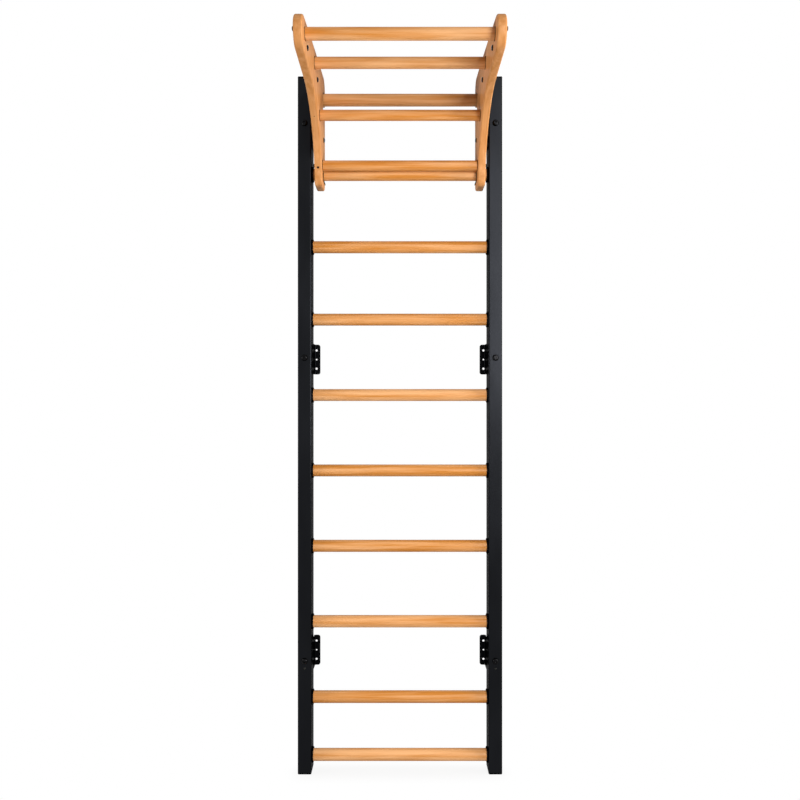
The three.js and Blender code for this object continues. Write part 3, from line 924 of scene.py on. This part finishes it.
class WALLBARS_OT_uprights(bpy.types.Operator):
    """Two box tubes with rung holes, bolt holes and countersunk screw holes"""

    bl_idname = "wall_bars.add_uprights"
    bl_label = "Uprights"

    def execute(self, context):
        sizes = context.scene.wall_frame
        wall = sizes.tube_wall
        bore = (UPRIGHT_WIDTH - 2 * wall, UPRIGHT_DEPTH - 2 * wall, sizes.tube_corner - wall)
        outside = rounded_rectangle(UPRIGHT_WIDTH, UPRIGHT_DEPTH, sizes.tube_corner)
        inside = rounded_rectangle(*bore)
        ends = (UPRIGHT_LOW.z, UPRIGHT_HIGH.z)
        beyond = (UPRIGHT_LOW.z - UPRIGHT_DEPTH, UPRIGHT_HIGH.z + UPRIGHT_DEPTH)
        rung_radius = RUNG_SIZE.z / 2 + sizes.clearance
        bolt_radius = sizes.bolt / 2 + sizes.clearance
        sink = sizes.rung_screw / 2 + sizes.clearance
        for side, sign in SIDES.items():
            node = f"{side}_upright"
            centre = middle(node)
            body = bmesh.new()
            skin(body, [standing(outside, centre, z) for z in ends])
            tube = solid(f"{side}_upright_tube", body, powder_coat(context.scene))

            hollow = bmesh.new()
            skin(hollow, [standing(inside, centre, z) for z in beyond])
            cut(tube, hollow)

            holes = bmesh.new()
            outwards = Vector((sign, 0, 0))
            for rung in RUNGS:
                z = middle(rung).z
                rung_place = Vector((centre.x - sign * UPRIGHT_WIDTH / 2, centre.y, z))
                cylinder_cutter(holes, rung_place, outwards, rung_radius, UPRIGHT_WIDTH / 2)
                screw_place = Vector((centre.x + sign * UPRIGHT_WIDTH / 2, centre.y, z))
                cylinder_cutter(holes, screw_place, outwards, sink - wall, 2 * wall, sink + wall)
            for level in LEVELS:
                z = middle(f"{level}_{side}_bracket_bolt").z
                bolt_place = Vector((centre.x, centre.y, z))
                cylinder_cutter(holes, bolt_place, FRONT, bolt_radius, 2 * UPRIGHT_DEPTH)
            cut(tube, holes)
            fit(smoothed(tube), WALL_FRAME, "frame_steel", node)
        return {"FINISHED"}


class WALLBARS_OT_end_pieces(bpy.types.Operator):
    """Caps and feet pressed into the ends of the uprights"""

    bl_idname = "wall_bars.add_end_pieces"
    bl_label = "Caps and feet"

    def execute(self, context):
        sizes = context.scene.wall_frame
        margin = 2 * (sizes.tube_wall + sizes.clearance)
        soft = SOFT_SHARE * sizes.cap_round
        outside = (UPRIGHT_WIDTH, UPRIGHT_DEPTH, sizes.tube_corner)
        plug_corner = sizes.tube_corner - sizes.tube_wall
        inside = (UPRIGHT_WIDTH - margin, UPRIGHT_DEPTH - margin, plug_corner)
        for side in SIDES:
            for kind in ("top_cap", "foot"):
                node = f"{side}_{kind}"
                low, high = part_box(node)
                if kind == "foot":
                    head = (low[2], UPRIGHT_LOW.z - sizes.clearance)
                    plug = (UPRIGHT_LOW.z - soft, high[2])
                    rounds = (sizes.foot_round, soft)
                else:
                    head = (UPRIGHT_HIGH.z + sizes.clearance, high[2])
                    plug = (low[2], UPRIGHT_HIGH.z + soft)
                    rounds = (soft, sizes.cap_round)
                body = bmesh.new()
                rounded_block(body, middle(node), *outside, head, rounds)
                rounded_block(body, middle(node), *inside, plug, (soft, soft))
                piece = solid(f"{side}_{kind}_moulding", body, moulded_black(context.scene))
                fit(smoothed(piece), WALL_FRAME, "black_plastic", node)
        return {"FINISHED"}


class WALLBARS_OT_rungs(bpy.types.Operator):
    """Ten round wooden rungs"""

    bl_idname = "wall_bars.add_rungs"
    bl_label = "Rungs"

    def execute(self, context):
        places = [(middle(rung), UNTURNED) for rung in RUNGS]
        sizes = {"Diameter": RUNG_SIZE.z, "Length": RUNG_SIZE.x}
        bars = grown("rungs", turned_bars, places, rung_wood(context.scene), sizes)
        fit(bars, WALL_FRAME, "rung_wood", *RUNGS)
        return {"FINISHED"}


class WALLBARS_OT_collars(bpy.types.Operator):
    """Black collars round the ends of the rungs"""

    bl_idname = "wall_bars.add_collars"
    bl_label = "Collars"

    def execute(self, context):
        sizes = context.scene.wall_frame
        places = []
        nodes = []
        for rung in RUNGS:
            for side, sign in SIDES.items():
                node = f"{rung}_{side}_collar"
                seat = middle(node) + Vector((sign * COLLAR_SIZE.x / 2, 0, 0))
                places.append((seat, facing((-sign, 0, 0))))
                nodes.append(node)
        shape = {
            "Inner diameter": RUNG_SIZE.z + 2 * sizes.clearance,
            "Outer diameter": COLLAR_SIZE.z,
            "Thickness": COLLAR_SIZE.x,
            "Round": sizes.collar_round,
        }
        black = moulded_black(context.scene)
        collars = grown("rung_collars", rounded_rings, places, black, shape)
        fit(collars, WALL_FRAME, "black_plastic", *nodes)
        return {"FINISHED"}


class WALLBARS_OT_brackets(bpy.types.Operator):
    """Six bent brackets between the uprights and the wall"""

    bl_idname = "wall_bars.add_brackets"
    bl_label = "Wall brackets"

    def execute(self, context):
        sizes = context.scene.wall_frame
        places = []
        nodes = []
        for level in LEVELS:
            for side, sign in SIDES.items():
                node = f"{level}_{side}_bracket"
                turn = (0, 0 if sign > 0 else math.pi, 0)
                places.append((Vector((sign * UPRIGHT_X, 0, middle(node).z)), turn))
                nodes.append(node)
        shape = {
            "Upright width": UPRIGHT_WIDTH,
            "Depth": BRACKET_SIZE.y,
            "Height": BRACKET_SIZE.z,
            "Sheet": sizes.sheet,
            "Bend": sizes.bend,
            "Flange": sizes.flange,
            "Corner": sizes.flange_corner,
            "Tongue": sizes.tongue,
            "Hole inset": sizes.hole_inset,
            "Hole pitch": sizes.hole_pitch,
            "Wall hole": sizes.wall_hole,
            "Middle hole": sizes.middle_hole,
            "Bolt hole": sizes.bolt + 2 * sizes.clearance,
            "Nut across": sizes.nut_across,
            "Nut height": sizes.nut_height,
        }
        coat = bracket_coat(context.scene)
        brackets = grown("wall_brackets", bent_brackets, places, coat, shape)
        fit(brackets, WALL_FRAME, "frame_steel", *nodes)
        return {"FINISHED"}


class WALLBARS_OT_bracket_bolts(bpy.types.Operator):
    """Six button-head bolts from the front of the uprights into the brackets' nuts"""

    bl_idname = "wall_bars.add_bracket_bolts"
    bl_label = "Bracket bolts"

    def execute(self, context):
        sizes = context.scene.wall_frame
        height = sizes.bolt_head_height
        nodes = [f"{level}_{side}_bracket_bolt" for level in LEVELS for side in SIDES]
        places = []
        for node in nodes:
            seat = middle(node)
            seat.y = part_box(node)[0][1] + height
            places.append((seat, facing(FRONT)))
        shank_length = extent(nodes[0]).y - height
        shape = button_sizes(sizes.bolt_head, height, sizes.bolt_socket, sizes.bolt, shank_length)
        steel = blackened_steel(context.scene)
        bolts = grown("bracket_bolts", socket_heads, places, steel, shape)
        fit(bolts, WALL_FRAME, "bolt_steel", *nodes)
        return {"FINISHED"}


class WALLBARS_OT_frame_screws(bpy.types.Operator):
    """Countersunk rung screws in the outer faces and a lock screw below each lower bolt"""

    bl_idname = "wall_bars.add_frame_screws"
    bl_label = "Frame screws"

    def execute(self, context):
        sizes = context.scene.wall_frame
        sunk = sizes.tube_wall
        head = sizes.rung_screw
        places = []
        for rung in RUNGS:
            for sign in SIDES.values():
                seat = Vector((sign * (UPRIGHT_HIGH.x - sunk), TOP_RUNG.y, middle(rung).z))
                places.append((seat, facing((sign, 0, 0))))
        shape = {
            "Head diameter": head,
            "Under diameter": head - 2 * sunk,
            "Rim": sunk - sizes.clearance,
            "Crown diameter": SUNK_CROWN_SHARE * head,
            "Head height": sunk - sizes.clearance,
            "Socket": SOCKET_SHARE * head,
            "Socket depth": SUNK_SOCKET_DEPTH_SHARE * sunk,
            "Shank diameter": head - 2 * sunk,
            "Shank length": sizes.clearance,
        }
        steel = blackened_steel(context.scene)
        fit(grown("rung_screws", socket_heads, places, steel, shape), WALL_FRAME, "bolt_steel")

        lock = sizes.lock_screw
        height = middle("lower_left_bracket_bolt").z - sizes.lock_screw_drop
        places = [
            (Vector((sign * UPRIGHT_X, UPRIGHT_LOW.y, height)), facing(FRONT))
            for sign in SIDES.values()
        ]
        shape = button_sizes(
            lock,
            LOCK_SCREW_HEIGHT_SHARE * lock,
            SOCKET_SHARE * lock,
            SHANK_SHARE * lock,
            sizes.tube_wall,
        )
        steel = worn_steel(context.scene)
        fit(grown("lock_screws", socket_heads, places, steel, shape), WALL_FRAME, "bolt_steel")
        return {"FINISHED"}


def plate_outline(sizes):
    """The side plate's outline as reach and rise from the top rung, counterclockwise."""
    corner = sizes.leg_corner
    nose = Vector((sizes.nose_reach, sizes.nose_rise))
    back = Vector((sizes.leg_back + sizes.back_corner, sizes.back_top - sizes.back_corner))
    fall = sizes.back_top - sizes.nose_rise - sizes.nose_radius
    top_normal = QUARTER - math.atan2(fall, sizes.nose_reach - sizes.leg_back)
    outwards = Vector((math.cos(top_normal), math.sin(top_normal)))
    top_front = nose + outwards * sizes.nose_radius
    top_back = back + outwards * sizes.back_corner
    crown = top_front.lerp(top_back, 0.5) + Vector((0, sizes.top_crown))
    leg_low = sizes.leg_bottom + corner
    leg_top = Vector((sizes.leg_front, sizes.leg_front_top))
    underside = Vector((sizes.underside_end, sizes.nose_rise - sizes.nose_radius))
    leg_pull = leg_top + Vector((sizes.leg_pull_reach, sizes.leg_pull_rise))
    underside_pull = underside - Vector((sizes.underside_pull, 0))
    return [
        *arc(sizes.leg_back + corner, leg_low, corner, math.pi, 3 * QUARTER),
        *arc(sizes.leg_front - corner, leg_low, corner, 3 * QUARTER, 4 * QUARTER),
        leg_top,
        *curve([leg_top, leg_pull, underside_pull, underside]),
        underside,
        *arc(nose.x, nose.y, sizes.nose_radius, -QUARTER, top_normal),
        *curve([top_front, crown, top_back]),
        *arc(back.x, back.y, sizes.back_corner, top_normal, math.pi),
    ]


def inset_outline(outline, distance):
    """The outline moved inwards by a distance."""
    result = []
    for index, corner in enumerate(outline):
        before = (corner - outline[index - 1]).normalized()
        after = (outline[(index + 1) % len(outline)] - corner).normalized()
        along = (before + after).normalized()
        result.append(corner + distance * Vector((-along.y, along.x)))
    return result


def upper_seat(sizes, radius):
    """The slot over the top rung: open below, with a mouth to the back."""
    mouth = RUNG_SIZE.z / 2 + sizes.mouth_clearance
    beyond = 2 * sizes.leg_back
    return [
        Vector((beyond, -sizes.seat_drop - mouth)),
        Vector((radius, -sizes.seat_drop - mouth)),
        *arc(0, 0, radius, 0, math.pi),
        Vector((-radius, mouth - sizes.seat_drop)),
        Vector((beyond, mouth - sizes.seat_drop)),
    ]


def lower_seat(sizes, radius):
    """The slot over the second rung: open to the back."""
    beyond = 2 * sizes.leg_back
    return [
        Vector((beyond, -radius)),
        *arc(0, 0, radius, -QUARTER, QUARTER),
        Vector((beyond, radius + 2 * sizes.seat_rise)),
    ]


class WALLBARS_OT_side_plates(bpy.types.Operator):
    """Two wooden side plates with a rounded edge and two seats each"""

    bl_idname = "wall_bars.add_side_plates"
    bl_label = "Side plates"

    def execute(self, context):
        sizes = context.scene.pull_up_attachment
        clearance = context.scene.wall_frame.clearance
        seat_radius = RUNG_SIZE.z / 2 + sizes.liner + 2 * clearance
        outline = plate_outline(sizes)
        rounding = sizes.plate_round
        for side in SIDES:
            node = f"{side}_side_plate"
            low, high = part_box(node)
            rings = rims(low[0], high[0], rounding, rounding)
            body = bmesh.new()
            skin(body, [sideways(inset_outline(outline, inset), x, TOP_RUNG) for inset, x in rings])
            board = solid(f"{side}_plate_board", body, plate_wood(context.scene))
            seats = bmesh.new()
            across = (low[0] - rounding, high[0] + rounding)
            for seat, rung in ((upper_seat, TOP_RUNG), (lower_seat, SECOND_RUNG)):
                slot = seat(sizes, seat_radius)
                skin(seats, [sideways(slot, x, rung) for x in across])
            cut(board, seats)
            fit(smoothed(board), ATTACHMENT, "plate_wood", node)
        return {"FINISHED"}


class WALLBARS_OT_seat_liners(bpy.types.Operator):
    """Black liners in the seats of the side plates"""

    bl_idname = "wall_bars.add_seat_liners"
    bl_label = "Seat liners"

    def execute(self, context):
        sizes = context.scene.pull_up_attachment
        clearance = context.scene.wall_frame.clearance
        inner = RUNG_SIZE.z / 2 + clearance
        outer = inner + sizes.liner
        mouth = RUNG_SIZE.z / 2 + sizes.mouth_clearance
        hook_end = mouth - sizes.seat_drop
        front_end = clearance - mouth - sizes.seat_drop
        hook = [
            Vector((outer, front_end)),
            *arc(0, 0, outer, 0, math.pi),
            Vector((-outer, hook_end)),
            Vector((-inner, hook_end)),
            *arc(0, 0, inner, math.pi, 0),
            Vector((inner, front_end)),
        ]
        back = sizes.leg_back + sizes.plate_round
        rise = sizes.seat_rise * back / sizes.leg_back
        rest = [
            Vector((back, -outer)),
            *arc(0, 0, outer, -QUARTER, QUARTER),
            Vector((back, outer + rise)),
            Vector((back, inner + rise)),
            *arc(0, 0, inner, QUARTER, -QUARTER),
            Vector((back, -inner)),
        ]
        lip = [
            Vector((back, -outer)),
            *arc(0, 0, outer, -QUARTER, 0),
            *arc(0, 0, inner, 0, -QUARTER),
            Vector((back, -inner)),
        ]
        for side, sign in SIDES.items():
            for level, outline, rung in (("upper", hook, TOP_RUNG), ("lower", rest, SECOND_RUNG)):
                node = f"{side}_{level}_seat_liner"
                low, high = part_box(node)
                body = bmesh.new()
                skin(body, [sideways(outline, x, rung) for x in (low[0], high[0])])
                if level == "lower":
                    face = sign * PLATE_LOW.x
                    across = (face, face - sign * sizes.lip)
                    skin(body, [sideways(lip, x, rung) for x in across])
                liner = solid(f"{side}_{level}_liner", body, moulded_black(context.scene))
                fit(smoothed(liner), ATTACHMENT, "black_plastic", node)
        return {"FINISHED"}


class WALLBARS_OT_grip_bars(bpy.types.Operator):
    """Four wooden grip bars between the side plates"""

    bl_idname = "wall_bars.add_grip_bars"
    bl_label = "Grip bars"

    def execute(self, context):
        places = [(middle(bar), UNTURNED) for bar in GRIP_BARS]
        sizes = {"Diameter": BAR_SIZE.z, "Length": BAR_SIZE.x}
        bars = grown("grip_bars", turned_bars, places, rung_wood(context.scene), sizes)
        fit(bars, ATTACHMENT, "rung_wood", *GRIP_BARS)
        return {"FINISHED"}


def on_plate(sign, x, reach, rise):
    """A place on a plate, from its reach and rise."""
    return Vector((sign * x, TOP_RUNG.y - reach, TOP_RUNG.z + rise))


def at_bar(bar, x):
    """A place on a grip bar's axis."""
    return Vector((x, *middle(bar).yz))


class WALLBARS_OT_bar_rings(bpy.types.Operator):
    """Thin dark rings between the grip bars and the plates"""

    bl_idname = "wall_bars.add_bar_rings"
    bl_label = "Bar rings"

    def execute(self, context):
        sizes = context.scene.pull_up_attachment
        places = [
            (at_bar(bar, sign * PLATE_LOW.x), facing((-sign, 0, 0)))
            for bar in GRIP_BARS
            for sign in SIDES.values()
        ]
        shape = {
            "Inner diameter": BAR_SIZE.z + context.scene.wall_frame.clearance,
            "Outer diameter": sizes.ring,
            "Thickness": sizes.ring_thickness,
            "Round": SOFT_SHARE * sizes.ring_thickness,
        }
        rings = grown("bar_rings", rounded_rings, places, moulded_black(context.scene), shape)
        fit(rings, ATTACHMENT, "black_plastic")
        return {"FINISHED"}


class WALLBARS_OT_plate_bolts(bpy.types.Operator):
    """Black bolts on both faces of the side plates"""

    bl_idname = "wall_bars.add_plate_bolts"
    bl_label = "Plate bolts"

    def execute(self, context):
        sizes = context.scene.pull_up_attachment
        steel = blackened_steel(context.scene)
        inner, outer, nose = [], [], []
        for sign in SIDES.values():
            inwards = facing((-sign, 0, 0))
            outwards = facing((sign, 0, 0))
            inner += [(on_plate(sign, PLATE_LOW.x, *spot), inwards) for spot in INNER_BOLTS]
            nose.append((on_plate(sign, PLATE_HIGH.x, *NOSE_BOLT), outwards))
            outer += [(at_bar(bar, sign * PLATE_HIGH.x), outwards) for bar in GRIP_BARS[1:]]
        kinds = (
            ("inner_bolts", inner, sizes.inner_bolt, sizes.inner_bolt_height),
            ("nose_bolts", nose, sizes.nose_bolt, sizes.nose_bolt_height),
            ("bar_bolts", outer, sizes.bar_bolt, sizes.bar_bolt_height),
        )
        for name, places, head, height in kinds:
            shape = button_sizes(head, height, SOCKET_SHARE * head, SHANK_SHARE * head, height)
            fit(grown(name, socket_heads, places, steel, shape), ATTACHMENT, "bolt_steel")
        return {"FINISHED"}


class WALLBARS_OT_edge_pins(bpy.types.Operator):
    """Dark pins in the front edge of the left side plate"""

    bl_idname = "wall_bars.add_edge_pins"
    bl_label = "Edge pins"

    def execute(self, context):
        sizes = context.scene.pull_up_attachment
        outline = plate_outline(sizes)
        centre_x = (PLATE_LOW.x + PLATE_HIGH.x) / 2
        front = [
            (spot, outline[index + 1] - outline[index - 1])
            for index, spot in enumerate(outline[:-1])
            if sizes.leg_front <= spot.x <= sizes.underside_end and spot.y < sizes.nose_rise
        ]
        diameters = {"upper": sizes.upper_pin, "lower": sizes.lower_pin}
        for level, rise in EDGE_PIN_RISES.items():
            spot, along = min(front, key=lambda entry: abs(entry[0].y - rise))
            outwards = facing((0, -along.y, -along.x))
            places = [(on_plate(SIDES["left"], centre_x, *spot), outwards)]
            pin = diameters[level]
            shape = button_sizes(
                pin, PIN_HEIGHT_SHARE * pin, SOCKET_SHARE * pin, PIN_SHANK_SHARE * pin, pin
            )
            black = moulded_black(context.scene)
            piece = grown(f"{level}_edge_pin", socket_heads, places, black, shape)
            fit(piece, ATTACHMENT, "black_plastic")
        return {"FINISHED"}


def seen_rays(nodes):
    """1 for rays that show a surface itself: camera, glossy and transmission rays."""
    camera = nodes.add("ShaderNodeLightPath", output="Is Camera Ray")
    glossy = nodes.add("ShaderNodeLightPath", output="Is Glossy Ray")
    through = nodes.add("ShaderNodeLightPath", output="Is Transmission Ray")
    return nodes.math("MAXIMUM", nodes.math("MAXIMUM", camera, glossy), through)


def floor_finish(stage):
    """A white floor with a painted shadow band below the rungs between the feet, where the grey
    diffuse floor shows through and its real cast shadow with it.
    """
    finish = Finish("floor")
    across = finish.add("ShaderNodeSeparateXYZ", None, {"Vector": finish.spot}, "X")
    forward = finish.add("ShaderNodeSeparateXYZ", None, {"Vector": finish.spot}, "Y")
    beside = finish.math("MAXIMUM", finish.math("ABSOLUTE", across) - stage.shadow_half, 0)
    ahead = forward - (TOP_RUNG.y - stage.shadow_ahead)
    away = finish.math("SQRT", beside * beside + ahead * ahead)
    # Painted shadow band: a share of the grey diffuse floor shows here and darkens the white even
    # where no shadow falls; the real cast shadow shows on top of it.
    shadow = stage.shadow_share * (1 - finish.stepped(away, 0, stage.shadow_reach))
    lit = finish.add("ShaderNodeBsdfDiffuse", None, {"Color": rgba(stage.floor)})
    white = finish.add("ShaderNodeEmission", None, {"Color": WHITE, "Strength": 1.0})
    share = seen_rays(finish) * (1 - shadow)
    return finish.end(finish.add("ShaderNodeMixShader", None, {0: share, 1: lit, 2: white}))


def add_floor(stage):
    body = bmesh.new()
    bmesh.ops.create_grid(body, x_segments=1, y_segments=1, size=FLOOR_HALF)
    mesh = bpy.data.meshes.new("floor")
    body.to_mesh(mesh)
    body.free()
    mesh.materials.append(floor_finish(stage))
    floor = linked("floor", mesh)


def add_world(scene, stage):
    """Weak light from all around, before a white background."""
    world = bpy.data.worlds.new("studio")
    world.use_nodes = True
    world.node_tree.nodes.clear()
    nodes = Nodes(world.node_tree)
    sky = nodes.add("ShaderNodeBackground", None, {"Strength": stage.sky, "Color": WHITE})
    white = nodes.add("ShaderNodeBackground", None, {"Strength": 1.0, "Color": WHITE})
    both = nodes.add("ShaderNodeMixShader", None, {0: seen_rays(nodes), 1: sky, 2: white})
    nodes.add("ShaderNodeOutputWorld", None, {"Surface": both})
    scene.world = world


def add_lamps(stage):
    """The lamps, each pointed at the target."""
    tall_box = {
        "shape": "RECTANGLE",
        "size": stage.key_width,
        "size_y": stage.key_height,
        "energy": stage.key_power,
    }
    lamps = {
        "key": ("AREA", tall_box),
        "low": ("AREA", {"size": stage.low_size, "energy": stage.low_power}),
        "sun": ("SUN", {"angle": stage.sun_spread, "energy": stage.sun_strength}),
        "side": ("AREA", {"size": stage.side_size, "energy": stage.side_power}),
        "fill": ("AREA", {"size": stage.fill_size, "energy": stage.fill_power}),
    }
    for name, (kind, settings) in lamps.items():
        lamp = bpy.data.lights.new(name, kind)
        for field, value in settings.items():
            setattr(lamp, field, value)
        holder = linked(name, lamp)
        holder.location = getattr(stage, f"{name}_place")
        sight = Vector(stage.target) - holder.location
        holder.rotation_euler = sight.to_track_quat("-Z", "Y").to_euler()


def add_camera(scene, stage):
    camera = bpy.data.cameras.new("camera")
    camera.lens = stage.lens
    camera.sensor_width = SENSOR_WIDTH
    holder = linked("camera", camera)
    holder.location = stage.camera_place
    holder.rotation_euler = (QUARTER, 0, 0)
    scene.camera = holder


class WALLBARS_OT_stage(bpy.types.Operator):
    """White floor, soft light and the camera"""

    bl_idname = "wall_bars.add_stage"
    bl_label = "Stage"

    def execute(self, context):
        scene = context.scene
        stage = scene.wall_bars_stage
        scene.view_settings.view_transform = "Standard"
        add_floor(stage)
        add_world(scene, stage)
        add_lamps(stage)
        add_camera(scene, stage)
        return {"FINISHED"}


OPERATORS = (
    WALLBARS_OT_uprights,
    WALLBARS_OT_end_pieces,
    WALLBARS_OT_rungs,
    WALLBARS_OT_collars,
    WALLBARS_OT_brackets,
    WALLBARS_OT_bracket_bolts,
    WALLBARS_OT_frame_screws,
    WALLBARS_OT_side_plates,
    WALLBARS_OT_seat_liners,
    WALLBARS_OT_grip_bars,
    WALLBARS_OT_bar_rings,
    WALLBARS_OT_plate_bolts,
    WALLBARS_OT_edge_pins,
    WALLBARS_OT_stage,
)


class WALLBARS_PT_panel(bpy.types.Panel):
    """Buttons for the pieces of the wall bars"""

    bl_idname = "WALLBARS_PT_panel"
    bl_label = "Wall bars"
    bl_space_type = "VIEW_3D"
    bl_region_type = "UI"
    bl_category = "Wall bars"

    def draw(self, context):
        for operator in OPERATORS:
            self.layout.operator(operator.bl_idname)


SETTINGS = {
    "wall_frame": WallFrameSettings,
    "pull_up_attachment": AttachmentSettings,
    "wall_bars_wood": WoodSettings,
    "wall_bars_stage": StageSettings,
}
CLASSES = (*SETTINGS.values(), *OPERATORS, WALLBARS_PT_panel)


def register():
    for cls in CLASSES:
        bpy.utils.register_class(cls)
    for name, group in SETTINGS.items():
        setattr(bpy.types.Scene, name, PointerProperty(type=group))


def unregister():
    for name in SETTINGS:
        delattr(bpy.types.Scene, name)
    for cls in reversed(CLASSES):
        bpy.utils.unregister_class(cls)


def main():
    register()
    for operator in OPERATORS:
        group, name = operator.bl_idname.split(".")
        getattr(getattr(bpy.ops, group), name)()


if __name__ == "__main__":
    main()
